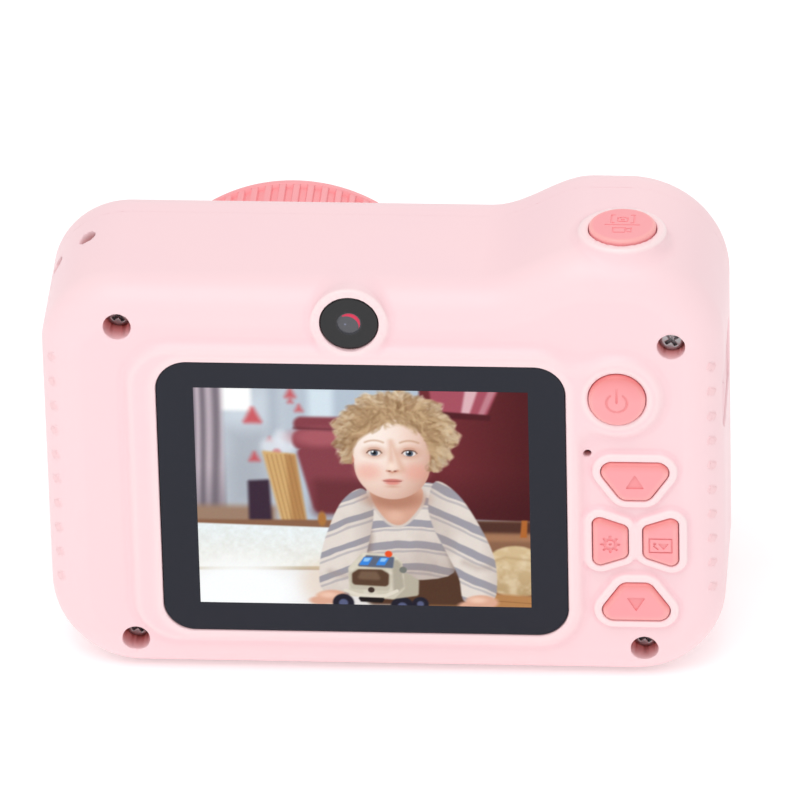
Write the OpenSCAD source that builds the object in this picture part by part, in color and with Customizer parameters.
// Kids digital camera: a soft two-part shell with a rear screen, six push buttons,
// a turning play ring around the lens, and the electronics that it holds.
// +Z is up, the lens looks along -Y and the screen faces +Y. Depths are counted
// in millimetres from the flat rear face of the shell towards the lens.

/* [Shell] */
// Width of the shell
body_w = 100; // [90:1:125]
// Height of the shell at its low shoulder
shoulder_h = 66.4; // [62:0.2:82]
// Depth of the shell from the rear face to the front face
body_d = 29.5; // [28:0.5:38]
// How far the grip hump rises above the shoulder
hump_rise = 5.2; // [3.5:0.1:7]
// How much lower the top is at the rear than at the front
top_fall = 0.8; // [0:0.1:1.5]
// Wall of both covers
wall = 2.0; // [1.6:0.1:2.6]
// Rounding of the rear edge
rear_round = 6; // [4:0.5:7]
// Rounding of the front edge
front_round = 5; // [3.5:0.5:6]
// Outline radius of the corner that carries the strap eyelets
strap_corner_r = 11.8; // [10:0.1:14]
// Outline radius of the grip hump's corner
grip_corner_r = 14.8; // [12:0.1:16]
// Outline radius of the two lower corners
low_corner_r = 13.5; // [10:0.1:15]
// Distance from the grip side to the foot of the hump's slope
hump_foot = 35.2; // [32:0.2:38]
// Distance from the grip side to the top of the hump's slope
hump_crest = 21.5; // [19:0.5:24]
// Depth of the front cover, measured from the front face
front_cover_d = 7; // [6:0.5:8]

/* [Screen] */
// Visible width of the display
display_w = 48.96; // [45:0.01:50]
// Visible height of the display
display_h = 36.72; // [34:0.01:38]
// Width of the black screen window
window_w = 59.8; // [56:0.1:60]
// Height of the black screen window
window_h = 45.7; // [42:0.1:46]
// Thickness of the screen window
window_t = 1.5; // [1.2:0.1:1.6]
// Corner radius of the screen window
window_r = 4.6; // [2:0.1:6]
// Distance of the display's centre from the middle of the shell, away from the grip
screen_x = 2.9; // [2:0.1:4]
// Height of the display's centre
screen_z = 31.1; // [30.5:0.1:33]
// Height of the raised frame around the window
frame_h = 1.1; // [0.9:0.1:1.3]
// Width of the raised frame beyond the window
frame_w = 2.6; // [1.5:0.1:3]

/* [Buttons] */
// Radius of the power button
power_r = 4.3; // [3.5:0.1:4.8]
// Radius of the shutter button
shutter_r = 5.05; // [4:0.05:5.5]
// Gap around each button
button_gap = 0.25; // [0.2:0.05:0.3]
// Travel of the buttons on the back
button_travel = 0.5; // [0.3:0.05:0.6]
// Travel of the shutter button
shutter_travel = 0.6; // [0.3:0.05:0.7]
// Width of the raised lip around each button
lip_w = 1.3; // [0.9:0.1:1.5]
// Height of that lip above the rear face
lip_h = 0.9; // [0.6:0.1:1.1]
// How far the arrow, settings and gallery buttons stand above their lips
key_proud = 0.35; // [0.2:0.05:0.6]
// How far the power button stands above the rear face
power_reach = 2.3; // [1.8:0.1:2.8]

/* [Lens] */
// Outer radius of the lens ring
ring_r = 23.2; // [21:0.1:23.6]
// How far the lens ring stands in front of the shell
lens_reach = 12; // [10:0.5:16]
// Distance of the lens axis from the middle of the shell, away from the grip
lens_x = 15.4; // [14:0.1:16]
// Height of the lens axis
lens_z = 38.2; // [37.5:0.1:39]
// Number of ribs around the lens ring
ring_ribs = 68; // [40:2:80]
// Radial running gap between the ring and the barrel
ring_gap = 0.08; // [0.05:0.01:0.1]
// Radius of the rear lens window
rear_lens_r = 4.25; // [3.8:0.05:4.5]

/* [Strap, screws and port] */
// Radius of the two strap eyelets
eyelet_r = 1.5; // [1:0.1:1.8]
// Depth of the strap eyelets behind the rear face
eyelet_d = 17.6; // [12:0.1:18.5]
// Radius of the screw wells
well_r = 2.05; // [1.9:0.05:2.3]
// Height of the rubber-covered port bay
bay_h = 10.4; // [10.2:0.1:12]
// Length of the port bay along the depth of the shell
bay_l = 17.7; // [17:0.1:18]

/* [Hidden] */
$fn = 64;
form_fn = 40;      // facets around each rounded corner of the shell
tiny = 0.01;       // overlap that keeps cuts clean
clear = 0.3;       // gap between parts that move past each other
fit_gap = 0.1;     // gap around parts that are dropped in and bonded

// Places along the depth
rear_y = (body_d + lens_reach + power_reach) / 2 - power_reach;
seam_d = body_d - front_cover_d;
hump_h = shoulder_h + hump_rise;
side_x = body_w / 2;
frame_top = -frame_h;
window_face = -frame_h + 0.25;
window_seat = window_face + window_t;

// Display stack
module_w = display_w + 11.3;
module_h = display_h + 6;
gasket_t = 0.5;
panel_t = 1.4;
light_t = 1.4;
panel_d = wall + gasket_t;
light_d = panel_d + panel_t;
holder_d = light_d + light_t;
holder_t = 1;
holder_wall = 0.95;
board_d = holder_d + 3.7;
board_t = 1.2;
chip_d = board_d + board_t;

// Button places: centre of the four-way pad, and how far the keys sit from it
pad_x = -side_x + 12.95;
pad_z = 24.85;
arrow_out = 10.3;
side_out = 3.7;
power_x = -side_x + 15.4;
power_z = 49.2;
mic_x = -side_x + 19.9;
mic_z = 39.4;
mic_r = 0.6;
flange_w = 0.7;
flange_t = 0.9;
flange_d = wall + clear;
stem_r = 1.4;
switch_w = 4;
switch_h = 2;
plunger_r = 1;
plunger_h = 0.9;
plunger_gap = 0.05;
switch_d = board_d - switch_h;
key_face = -lip_h - key_proud;
power_lip = 1.1;

// Shutter button stack, upwards along Z
shutter_x = -side_x + 14.85;
shutter_d = 9.3;
shutter_lip_z = hump_h + 0.35;
shutter_top = shutter_lip_z + 0.75;
shutter_seat = hump_h - 4.8;
shutter_flange = shutter_seat - clear;
shutter_board_z = shutter_flange - flange_t - 1 - plunger_h - switch_h - 1;
shelf_t = 1.5;

// Screws: [x, z, depth of the head's top]
screws = [
    [side_x - 11.7, shoulder_h - 7, 3.6], [-side_x + 7.5, shoulder_h - 8.9, 2.2],
    [side_x - 12.7, 6.15, 3.6], [-side_x + 11.85, 5.9, 3.6]
];
screw_head_r = 1.9;
screw_head_h = 1.4;
screw_shank_r = 1;
screw_l = 9;
pilot_r = 0.85;
seat_t = 1.5;
tube_r = 3.4;
boss_r = 2.9;
posts = [[side_x - 12, 46], [side_x - 12, 18], [-side_x + 6, 33.2], [-side_x + 19.5, 8.6]];
post_r = 2;

// Rear camera
rear_lens_x = 4.3;
rear_lens_z = shoulder_h - 5.5;
rear_lens_lip = 0.55;
rear_lens_t = 1.2;
rear_lens_boss_r = rear_lens_r + 1.2;

// Lens barrel, counted forwards from the front face
barrel_r = ring_r - 3.5;
barrel_bore = barrel_r - 3.4;
barrel_front = lens_reach - 2.4;
ring_start = 1;
ring_lip = 1.2;
rib_depth = 0.6;
rib_step = 0.1;
rib_share = 0.42;
trim_r = barrel_r + 1.6;
glass_r = barrel_r - 2.2;
plinth_h = ring_start - clear;
camera_r = 4.4;

// Port bay on the grip side
bay_z = 46;
bay_start = 4.3;
bay_depth = 1.4;
bay_r = 2.4;
flap_t = 0.8;
flap_end = bay_start + bay_l - 2.45;
hinge_d = flap_end + 0.25;
root_start = hinge_d + 0.8;
usb_w = 8.94;
usb_h = 3.26;
usb_l = 7.3;
usb_x = -side_x + bay_depth + 1.4;

// Board edges
board_left = -side_x + 4;
board_right = side_x - 10;
board_low = 10.5;
board_high = 53;
tab_low = 5.5;
tab_left = -side_x + 16;
tab_right = side_x - 16.5;

// A flat shape in the plane of the screen, given thickness between two depths
module slab(from, to)
    translate([0, rear_y - from, 0]) rotate([90, 0, 0]) linear_extrude(to - from) children();

// A round bar along the depth
module bar(x, z, r, from, to)
    translate([x, rear_y - from, z]) rotate([90, 0, 0]) cylinder(r = r, h = to - from);

// A box between two corners in x and z and two depths
module box(x0, x1, z0, z1, from, to)
    translate([x0, rear_y - to, z0]) cube([x1 - x0, to - from, z1 - z0]);

module round_rect(x, z, w, h, r) translate([x, z]) offset(r = r) square([w - 2 * r, h - 2 * r], center = true);

// ---------- Shell ----------

// One rounded corner disc of the shell: its face at local z = 0, its full radius at z = edge
module edge_disc(radius, edge)
    rotate_extrude($fn = form_fn)
        polygon(concat([[0, 0]],
            [for (a = [0 : 15 : 90]) [radius - edge + edge * sin(a), edge - edge * cos(a)]],
            [[0, edge]]));

// Rear and front discs of one corner; inset draws the inner surface of the wall
module corner(x, z, r, inset, fall) {
    translate([x, rear_y - inset, z - fall]) rotate([90, 0, 0]) edge_disc(r - inset, rear_round - inset);
    translate([x, rear_y - body_d + inset, z]) rotate([-90, 0, 0]) edge_disc(r - inset, front_round - inset);
}

module low_corners(inset) {
    corner(side_x - low_corner_r, low_corner_r, low_corner_r, inset, 0);
    corner(-side_x + low_corner_r, low_corner_r, low_corner_r, inset, 0);
}

// The whole outer form of the shell, or its inner form when inset is the wall
module body_form(inset) {
    foot_r = 9;
    crest_r = 12;
    hull() {
        low_corners(inset);
        corner(side_x - strap_corner_r, shoulder_h - strap_corner_r, strap_corner_r, inset, top_fall);
        corner(-side_x + grip_corner_r, shoulder_h - grip_corner_r, grip_corner_r, inset, top_fall);
    }
    hull() {
        corner(-side_x + grip_corner_r, hump_h - grip_corner_r, grip_corner_r, inset, top_fall);
        corner(-side_x + hump_crest, hump_h - crest_r, crest_r, inset, top_fall);
        corner(-side_x + hump_foot, shoulder_h - foot_r, foot_r, inset, top_fall);
        corner(-side_x + low_corner_r, low_corner_r, low_corner_r, inset, 0);
    }
}

module window_shape(grow) round_rect(screen_x, screen_z + 0.3, window_w + 2 * grow, window_h + 2 * grow, window_r + grow);

// Arrow key, wide side up; turn = -1 puts the wide side down
module arrow_shape(turn)
    translate([pad_x, pad_z + turn * arrow_out]) scale([1, turn])
        offset(r = 1.7) offset(delta = -1.7)
            polygon([[-6.5, 3.22], [6.5, 3.22], [2.06, -3.22], [-2.06, -3.22]]);

// Side key, tall side away from the middle of the pad; turn = 1 is the one near the screen
module side_shape(turn)
    translate([pad_x + turn * side_out, pad_z]) scale([turn, 1])
        offset(r = 1.1) offset(delta = -1.1)
            polygon([[2.75, -4.75], [2.75, 4.75], [-2.75, 2.75], [-2.75, -2.75]]);

module power_shape() translate([power_x, power_z]) circle(r = power_r);

// Raised lips around the screen, the keys and the power button
module lips() {
    slab(frame_top, wall) window_shape(frame_w);
    for (turn = [-1, 1]) {
        slab(-lip_h, wall) offset(r = lip_w) arrow_shape(turn);
        slab(-lip_h, wall) offset(r = lip_w) side_shape(turn);
    }
    bar(power_x, power_z, power_r + lip_w + 1, -power_lip, wall);
    bar(rear_lens_x, rear_lens_z, rear_lens_boss_r, -rear_lens_lip, wall + 2);
    translate([shutter_x, rear_y - shutter_d, shutter_seat])
        cylinder(r = shutter_r + 2, h = hump_h - 2.2 - shutter_seat);
    translate([shutter_x, rear_y - shutter_d, hump_h - 2.2])
        cylinder(r1 = shutter_r + 2, r2 = shutter_r + 1.1, h = shutter_lip_z - hump_h + 2.2);
}

// Screw wells, board posts, the shelf of the shutter board and the port bay's pad
module inner_ribs() {
    for (s = screws) bar(s[0], s[1], tube_r, 1.5, s[2] + screw_head_h + seat_t);
    for (p = posts) bar(p[0], p[1], post_r, wall - tiny, board_d);
    box(shutter_x - 3.4, shutter_x + 3.4, shutter_board_z - shelf_t, shutter_board_z, wall - tiny, shutter_d + 4.2);
    box(-side_x + wall - 0.2, -side_x + bay_depth + 1.2, bay_z - bay_h / 2 - 1, bay_z + bay_h / 2 + 1, rear_round, seam_d);
    box(lens_x - 6, lens_x - 4, wall - tiny, board_low - 4, seam_d - 6, seam_d);
}

// A cylinder drilled through the strap corner along its radius
module eyelet(angle)
    translate([side_x - strap_corner_r, rear_y - eyelet_d, shoulder_h - strap_corner_r - top_fall / 2])
        rotate([0, 90 - angle, 0]) translate([0, 0, strap_corner_r - wall - 2]) cylinder(r = eyelet_r, h = wall + 6);

// Row of small slanted finger notches on the rear edge of one side
module grip_notches(side)
    for (i = [0 : 9])
        translate([side * (side_x - rear_round), rear_y - rear_round, 15.9 + i * 4.16])
            rotate([0, 0, side * -45]) rotate([0, side * 25, 0])
                translate([0, rear_round, 0]) cube([1.5, 0.8, 1.1], center = true);

module rear_openings() {
    slab(-3, window_seat) window_shape(fit_gap);
    slab(-1, wall + 1) round_rect(screen_x, screen_z, display_w + 1.6, display_h + 1.6, 1);
    for (turn = [-1, 1]) {
        slab(-3, wall + 1) offset(r = button_gap) arrow_shape(turn);
        slab(-3, wall + 1) offset(r = button_gap) side_shape(turn);
    }
    bar(power_x, power_z, power_r + button_gap, -3, wall + 1);
    bar(mic_x, mic_z, mic_r, -3, wall + 1);
    bar(rear_lens_x, rear_lens_z, rear_lens_r + fit_gap, -3, rear_lens_t - rear_lens_lip + fit_gap);
    bar(rear_lens_x, rear_lens_z, 2.6, -1, wall + 4.5);
    translate([shutter_x, rear_y - shutter_d, shutter_seat - 1]) cylinder(r = shutter_r + button_gap, h = 10);
    for (s = screws) {
        bar(s[0], s[1], well_r, -3, s[2] + screw_head_h);
        bar(s[0], s[1], screw_shank_r + 0.15, -3, s[2] + screw_head_h + seat_t + 1);
    }
    for (p = posts) bar(p[0], p[1], 0.7, wall + 0.5, board_d + 1);
    eyelet(60);
    eyelet(28);
    translate([-side_x - 1, rear_y, 0]) rotate([90, 0, 90]) linear_extrude(bay_depth + 1)
        translate([-bay_start - bay_l / 2, bay_z]) offset(r = bay_r)
            square([bay_l - 2 * bay_r, bay_h - 2 * bay_r], center = true);
    box(-side_x, usb_x + 0.2, bay_z - usb_w / 2 - 0.2, bay_z + usb_w / 2 + 0.2, chip_d - 0.2, chip_d + usb_h + 0.2);
    box(-20.2, -7.8, -1, wall + 1, chip_d - 0.1, chip_d + 1.7);
    grip_notches(1);
    grip_notches(-1);
}

module rear_cover()
    color("mistyrose") difference() {
        union() {
            difference() {
                union() {
                    body_form(0);
                    lips();
                }
                difference() {
                    body_form(wall);
                    translate([shutter_x, rear_y - shutter_d, shutter_seat]) cylinder(r = shutter_r + 2, h = 10);
                    bar(rear_lens_x, rear_lens_z, rear_lens_boss_r, -1, wall + 2);
                }
            }
            inner_ribs();
        }
        box(-body_w, body_w, -1, 2 * hump_h, seam_d, 2 * body_d);
        rear_openings();
    }

module front_cover()
    color("mistyrose") difference() {
        union() {
            difference() {
                union() {
                    body_form(0);
                    bar(lens_x, lens_z, ring_r + 0.8, body_d - 1, body_d + plinth_h);
                }
                body_form(wall);
            }
            for (s = screws) bar(s[0], s[1], boss_r, s[2] + screw_head_h + seat_t, body_d - wall + tiny);
        }
        difference() {
            box(-body_w, body_w, -1, 2 * hump_h, -5, seam_d);
            for (s = screws) bar(s[0], s[1], boss_r, s[2] + screw_head_h + seat_t, body_d);
        }
        for (s = screws) bar(s[0], s[1], pilot_r, s[2], s[2] + screw_head_h + seat_t + screw_l);
        bar(lens_x, lens_z, barrel_r + fit_gap, body_d - 5, body_d + 5);
        bar(flash_x, flash_z, 2.6, body_d - 5, body_d + 1);
        for (a = [0 : 60 : 300]) bar(speaker_x + 4.5 * cos(a), speaker_z + 4.5 * sin(a), 0.9, body_d - 5, body_d + 1);
        bar(speaker_x, speaker_z, 0.9, body_d - 5, body_d + 1);
    }

// ---------- Screen ----------

module screen_window() color([0.18, 0.18, 0.2]) slab(window_face, window_seat) window_shape(0);

module screen_gasket()
    color([0.12, 0.12, 0.12]) slab(wall, panel_d) difference() {
        round_rect(screen_x, screen_z, display_w + 6.5, display_h + 4.5, 1.5);
        round_rect(screen_x, screen_z, display_w + 1.6, display_h + 1.6, 1);
    }

module lcd_outline(grow) round_rect(screen_x, screen_z, module_w + 2 * grow, module_h + 2 * grow, 0.5 + grow);

module lcd_panel() color([0.35, 0.4, 0.45]) slab(panel_d, light_d) lcd_outline(0);

module lcd_backlight() color("silver") slab(light_d, holder_d) lcd_outline(0);

module lcd_ribbon()
    color("darkorange") {
        box(screen_x - 8, screen_x + 8, screen_z - 11.1, screen_z - 3, holder_d, holder_d + 0.3);
        box(screen_x - 8, screen_x + 8, screen_z - 11.4, screen_z - 11.1, holder_d, board_d);
        box(screen_x - 8, screen_x + 8, screen_z - 17, screen_z - 11.4, board_d - 0.3, board_d);
    }

// Frame that clips around the display and stands on the board by four feet
module screen_holder()
    color("whitesmoke") {
        slab(panel_d, holder_d) difference() {
            lcd_outline(fit_gap + holder_wall);
            lcd_outline(fit_gap);
        }
        slab(holder_d, holder_d + holder_t) difference() {
            lcd_outline(fit_gap + holder_wall);
            round_rect(screen_x, screen_z, display_w - 9, display_h - 8, 1);
        }
        for (x = [-1, 1], z = [-1, 1])
            bar(screen_x + x * (module_w / 2 - 3), screen_z + z * (module_h / 2 - 4), 1.5, holder_d + holder_t, board_d);
    }

// ---------- Cameras and flash ----------

module rear_lens_window() color([0.2, 0.2, 0.22])
    bar(rear_lens_x, rear_lens_z, rear_lens_r, -rear_lens_lip + fit_gap, rear_lens_t - rear_lens_lip + fit_gap);

module rear_camera_module()
    color([0.1, 0.1, 0.1]) {
        bar(rear_lens_x, rear_lens_z, 2.2, 1.4, 5.6);
        box(rear_lens_x - 2.5, rear_lens_x + 2.5, rear_lens_z - 2.5, rear_lens_z + 2.5, 5.6, board_d - 0.6);
    }

module rear_camera_ribbon() color("darkorange")
    box(rear_lens_x - 2.5, rear_lens_x + 2.5, board_high - 4, rear_lens_z + 2, board_d - 0.6, board_d);

module lens_barrel()
    color([0.9, 0.55, 0.58]) difference() {
        union() {
            bar(lens_x, lens_z, barrel_r, body_d - wall - 1.5, body_d + barrel_front);
            bar(lens_x, lens_z, barrel_r + 2, body_d - wall - 1.5, body_d - wall);
        }
        bar(lens_x, lens_z, barrel_bore, body_d - wall, body_d + lens_reach);
        bar(lens_x, lens_z, glass_r + fit_gap, body_d + barrel_front - 1.4, body_d + lens_reach);
        bar(lens_x, lens_z, camera_r + fit_gap, body_d - wall - 2, body_d);
    }

// Ribbed band around the axis, drawn flat: each rib and each groove is a short chord
module rib_outline()
    polygon([for (i = [0 : ring_ribs - 1], k = [0 : 3])
        let (r = ring_r - (k < 2 ? rib_step : rib_depth),
             share = [0, rib_share, rib_share + 0.1, 0.9][k],
             a = (i + share) * 360 / ring_ribs)
        [lens_x + r * cos(a), lens_z + r * sin(a)]]);

module lens_ring()
    color([1, 0.63, 0.66]) difference() {
        union() {
            slab(body_d + ring_start, body_d + lens_reach - ring_lip + tiny) rib_outline();
            bar(lens_x, lens_z, ring_r, body_d + lens_reach - ring_lip, body_d + lens_reach);
        }
        bar(lens_x, lens_z, barrel_r + ring_gap, body_d, body_d + lens_reach + 1);
        bar(lens_x, lens_z, trim_r + clear, body_d + barrel_front, body_d + lens_reach + 1);
    }

module lens_trim_ring()
    color("white") difference() {
        union() {
            bar(lens_x, lens_z, barrel_r, body_d + barrel_front, body_d + barrel_front + clear + 0.5);
            bar(lens_x, lens_z, trim_r, body_d + barrel_front + clear, body_d + barrel_front + clear + 1.3);
        }
        bar(lens_x, lens_z, glass_r - 1.3, body_d, body_d + lens_reach + 1);
    }

module front_lens_window() color([0.1, 0.1, 0.12])
    bar(lens_x, lens_z, glass_r, body_d + barrel_front - 1.4, body_d + barrel_front - 0.2);

module front_camera_module()
    color([0.15, 0.15, 0.15]) difference() {
        union() {
            box(lens_x - 7, lens_x + 7, lens_z - 7, lens_z + 7, body_d - wall - 2.7, body_d - wall - 1.5);
            bar(lens_x, lens_z, camera_r, body_d - wall - 1.6, body_d + 1.5);
            bar(lens_x, lens_z, 3.2, body_d + 1, body_d + 5);
        }
        bar(lens_x, lens_z, 2.4, body_d + 4, body_d + 6);
    }

module front_camera_lens() color([0.4, 0.45, 0.6]) bar(lens_x, lens_z, 2.4, body_d + 4, body_d + 4.8);

module front_camera_ribbon()
    color("darkorange") {
        box(lens_x - 4, lens_x + 4, lens_z + 5, lens_z + 9.1, body_d - wall - 3, body_d - wall - 2.7);
        box(lens_x - 4, lens_x + 4, lens_z + 8.8, lens_z + 9.1, chip_d, body_d - wall - 3);
        box(lens_x - 4, lens_x + 4, lens_z + 5, lens_z + 8.8, chip_d, chip_d + 0.3);
    }

flash_x = -side_x + 24;
flash_z = 53;

module flash_window() color("ghostwhite") bar(flash_x, flash_z, 2.5, body_d - wall, body_d - 0.1);

module flash_led() color("khaki")
    box(flash_x - 1.7, flash_x + 1.7, flash_z - 1.4, flash_z + 1.4, body_d - wall - 1.4, body_d - wall - 0.4);

module flash_board() color("darkgreen") {
    box(flash_x - 4.5, flash_x + 4.5, flash_z - 3.5, flash_z + 3.5, body_d - wall - 2.2, body_d - wall - 1.4);
    for (x = [-1, 1]) bar(flash_x + 3.5 * x, flash_z, 0.8, body_d - wall - 1.4, body_d - wall);
}

// ---------- Electronics ----------

module main_board()
    color("darkgreen") difference() {
        union() {
            box(board_left, board_right, board_low, board_high, board_d, chip_d);
            box(tab_left, tab_right, tab_low, board_low + 1, board_d, chip_d);
        }
        for (p = posts) bar(p[0], p[1], 1, board_d - 1, chip_d + 1);
    }

module processor_chip() color([0.1, 0.1, 0.1]) box(-26, -14, 24, 36, chip_d, chip_d + 1.2);

module memory_chip() color([0.1, 0.1, 0.1]) box(-26, -18, 40, 46, chip_d, chip_d + 1);

module power_chip() color([0.1, 0.1, 0.1]) box(-12, -8, 24, 28, chip_d, chip_d + 0.9);

// Place of each key on the back: [x, z]
key_places = [
    [power_x, power_z], [pad_x, pad_z + arrow_out], [pad_x, pad_z - arrow_out],
    [pad_x + side_out, pad_z], [pad_x - side_out, pad_z]
];

module key_switches()
    color([0.2, 0.2, 0.22]) for (k = key_places)
        difference() {
            box(k[0] - switch_w / 2, k[0] + switch_w / 2, k[1] - switch_w / 2, k[1] + switch_w / 2, switch_d, board_d);
            bar(k[0], k[1], plunger_r + plunger_gap, switch_d - 1, switch_d + 1.6);
        }

module shutter_board() color("darkgreen")
    box(shutter_x - 6, shutter_x + 6, shutter_board_z, shutter_board_z + 1, shutter_d - 4.2, shutter_d + 4.2);

module shutter_switch()
    color([0.2, 0.2, 0.22]) difference() {
        box(shutter_x - 2, shutter_x + 2, shutter_board_z + 1, shutter_board_z + 1 + switch_h, shutter_d - 2, shutter_d + 2);
        translate([shutter_x, rear_y - shutter_d, shutter_board_z + 1.4]) cylinder(r = plunger_r + plunger_gap, h = 5);
    }

module shutter_leads()
    color("crimson") for (x = [4.4, 5.4])
        translate([shutter_x + x, rear_y - board_d - board_t / 2, board_high]) cylinder(r = 0.4, h = shutter_board_z - board_high, $fn = 24);

module battery() color("silver") box(-2, 36, 12, 40, chip_d + 0.8, chip_d + 5.8);

module battery_pad() color("dimgray") box(2, 32, 15, 37, chip_d, chip_d + 0.8);

module battery_leads()
    color("crimson") {
        for (z = [33.5, 35]) translate([-6, rear_y - chip_d - 1.5, z]) rotate([0, 90, 0]) cylinder(r = 0.5, h = 4, $fn = 24);
        box(-9.5, -6, 32, 36.5, chip_d, chip_d + 2.6);
    }

speaker_x = -side_x + 20;
speaker_z = 20;

module speaker()
    color([0.3, 0.3, 0.32]) {
        bar(speaker_x, speaker_z, 9, body_d - wall - 2.5, body_d - wall);
        bar(speaker_x, speaker_z, 6, body_d - wall - 4, body_d - wall - 2.5);
    }

module speaker_leads()
    color("crimson") for (z = [-1, 1])
        bar(speaker_x - 7.5, speaker_z + z, 0.4, chip_d, body_d - wall - 2.5, $fn = 24);

module microphone() color("goldenrod")
    box(mic_x - 1.5, mic_x + 1.5, mic_z - 1.5, mic_z + 1.5, board_d - 1.1, board_d);

module microphone_boot()
    color([0.15, 0.15, 0.15]) difference() {
        bar(mic_x, mic_z, 1.5, wall, board_d - 1.1);
        bar(mic_x, mic_z, 0.8, wall - 1, board_d);
    }

module usb_port()
    color("silver") difference() {
        box(usb_x, usb_x + usb_l, bay_z - usb_w / 2, bay_z + usb_w / 2, chip_d, chip_d + usb_h);
        difference() {
            box(usb_x - 1, usb_x + usb_l - 1, bay_z - usb_w / 2 + 0.3, bay_z + usb_w / 2 - 0.3, chip_d + 0.3, chip_d + usb_h - 0.3);
            box(usb_x + 1, usb_x + usb_l, bay_z - 3.3, bay_z + 3.3, chip_d + usb_h / 2 - 0.35, chip_d + usb_h / 2 + 0.35);
        }
    }

module card_slot()
    color("silver") difference() {
        box(-21, -7, wall + 0.2, wall + 15, chip_d, chip_d + 1.6);
        box(-19.7, -8.3, wall, wall + 14, chip_d + 0.3, chip_d + 1.3);
    }

// ---------- Fasteners ----------

// Pan-head screw with a cross recess: head top at depth from
module screw(x, z, from, head_r, head_h, shank_r, length) {
    difference() {
        union() {
            bar(x, z, head_r, from, from + head_h);
            bar(x, z, shank_r, from + head_h - tiny, from + head_h + length);
        }
        for (a = [0, 90])
            translate([x, rear_y - from, z]) rotate([0, a, 0]) cube([head_r * 1.2, head_h, 0.45], center = true);
    }
}

module cover_screws() color("silver") for (s = screws)
    screw(s[0], s[1], s[2], screw_head_r, screw_head_h, screw_shank_r, seat_t + screw_l - 1);

// These go in from the front, so each is turned about the board's face
module board_screws()
    color("silver") for (p = posts)
        difference() {
            union() {
                bar(p[0], p[1], 1.6, chip_d, chip_d + 0.9);
                bar(p[0], p[1], 0.85, chip_d - 4, chip_d + tiny);
            }
            translate([p[0], rear_y - chip_d - 0.9, p[1]]) cube([2, 0.8, 0.4], center = true);
        }

// ---------- Buttons ----------

// Cap, flange and stem of a key; the cap's outline is the child
module key(x, z, face) {
    slab(face, flange_d + tiny) children();
    slab(flange_d, flange_d + flange_t) offset(r = flange_w) children();
    bar(x, z, stem_r, flange_d + flange_t - tiny, switch_d - plunger_h);
}

module plunger(x, z) color("dimgray") bar(x, z, plunger_r, switch_d - plunger_h, switch_d + 0.8);

module up_button() color([1, 0.63, 0.66]) key(key_places[1][0], key_places[1][1], key_face) arrow_shape(1);

module down_button() color([1, 0.63, 0.66]) key(key_places[2][0], key_places[2][1], key_face) arrow_shape(-1);

module settings_button() color([1, 0.63, 0.66]) key(key_places[3][0], key_places[3][1], key_face) side_shape(1);

module gallery_button() color([1, 0.63, 0.66]) key(key_places[4][0], key_places[4][1], key_face) side_shape(-1);

module power_button()
    color([1, 0.63, 0.66]) {
        bar(power_x, power_z, power_r, -power_reach + 0.6, flange_d + tiny);
        bar(power_x, power_z, power_r - 0.9, -power_reach, -power_reach + 0.6);
        bar(power_x, power_z, power_r + flange_w, flange_d, flange_d + flange_t);
        bar(power_x, power_z, stem_r, flange_d + flange_t - tiny, switch_d - plunger_h);
    }

module shutter_button()
    color([1, 0.63, 0.66]) translate([shutter_x, rear_y - shutter_d, 0]) {
        translate([0, 0, shutter_flange - tiny]) cylinder(r = shutter_r, h = shutter_top - shutter_flange + tiny);
        translate([0, 0, shutter_flange - flange_t]) cylinder(r = shutter_r + flange_w, h = flange_t);
        translate([0, 0, shutter_flange - flange_t - 1]) cylinder(r = stem_r, h = 1 + tiny);
    }

module shutter_plunger()
    color("dimgray") translate([shutter_x, rear_y - shutter_d, shutter_board_z + 1 + switch_h - 0.7])
        cylinder(r = plunger_r, h = plunger_h + 0.7);

// ---------- Port cover ----------

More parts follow.
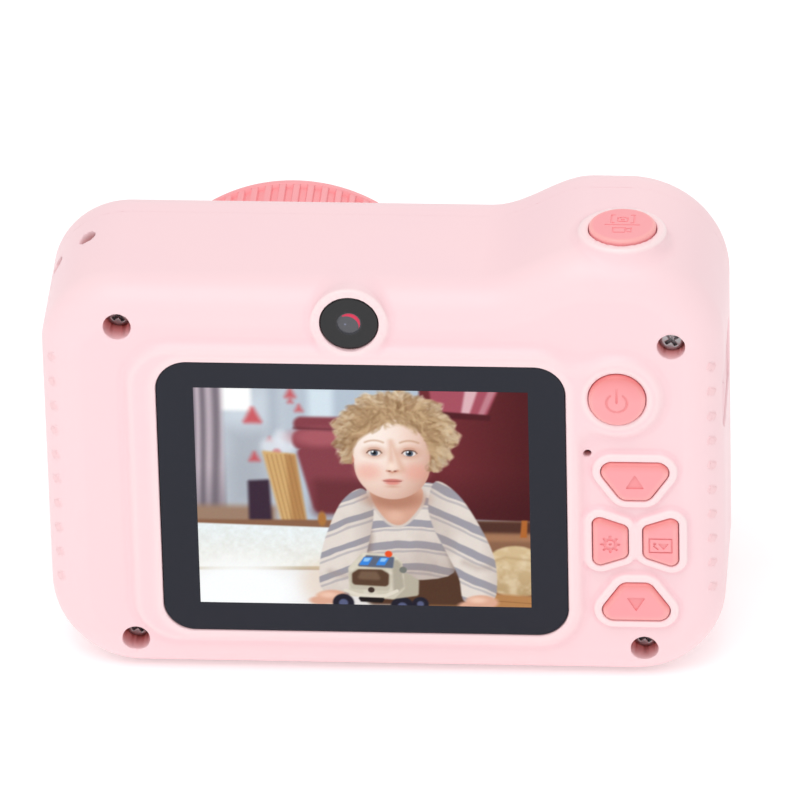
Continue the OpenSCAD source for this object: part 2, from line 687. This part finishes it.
module bay_outline(start, length, gap)
    translate([-start - length / 2, bay_z]) offset(r = bay_r - gap)
        square([length - 2 * bay_r, bay_h - 2 * bay_r], center = true);

// Rubber flap with a plug for the socket; its free end is towards the rear
module port_cover()
    color([1, 0.8, 0.83]) {
        translate([-side_x + bay_depth - clear - flap_t, rear_y, 0]) rotate([90, 0, 90]) linear_extrude(flap_t)
            intersection() {
                bay_outline(bay_start, bay_l, 0.25);
                translate([-flap_end, 0]) square([body_d, hump_h]);
            }
        box(-side_x + bay_depth - clear - tiny, -side_x + bay_depth + 0.7,
            bay_z - usb_w / 2 + 0.5, bay_z + usb_w / 2 - 0.5, chip_d + 0.4, chip_d + usb_h - 0.4);
    }

// The end of the rubber piece that is bonded into the bay
module port_cover_root()
    color([1, 0.8, 0.83]) translate([-side_x + bay_depth - clear - flap_t, rear_y, 0]) rotate([90, 0, 90])
        linear_extrude(flap_t + clear) intersection() {
            bay_outline(bay_start, bay_l, 0.05);
            translate([-body_d, 0]) square([body_d - root_start, hump_h]);
        }

rear_cover();
front_cover();
screen_window();
screen_gasket();
lcd_panel();
lcd_backlight();
lcd_ribbon();
screen_holder();
rear_lens_window();
rear_camera_module();
rear_camera_ribbon();
lens_barrel();
lens_ring();
lens_trim_ring();
front_lens_window();
front_camera_module();
front_camera_lens();
front_camera_ribbon();
flash_window();
flash_led();
flash_board();
main_board();
processor_chip();
memory_chip();
power_chip();
key_switches();
shutter_board();
shutter_switch();
shutter_leads();
battery();
battery_pad();
battery_leads();
speaker();
speaker_leads();
microphone();
microphone_boot();
usb_port();
card_slot();
cover_screws();
board_screws();
power_button();
up_button();
down_button();
settings_button();
gallery_button();
shutter_button();
plunger(key_places[0][0], key_places[0][1]);  // power_plunger
plunger(key_places[1][0], key_places[1][1]);  // up_plunger
plunger(key_places[2][0], key_places[2][1]);  // down_plunger
plunger(key_places[3][0], key_places[3][1]);  // settings_plunger
plunger(key_places[4][0], key_places[4][1]);  // gallery_plunger
shutter_plunger();
port_cover();
port_cover_root();
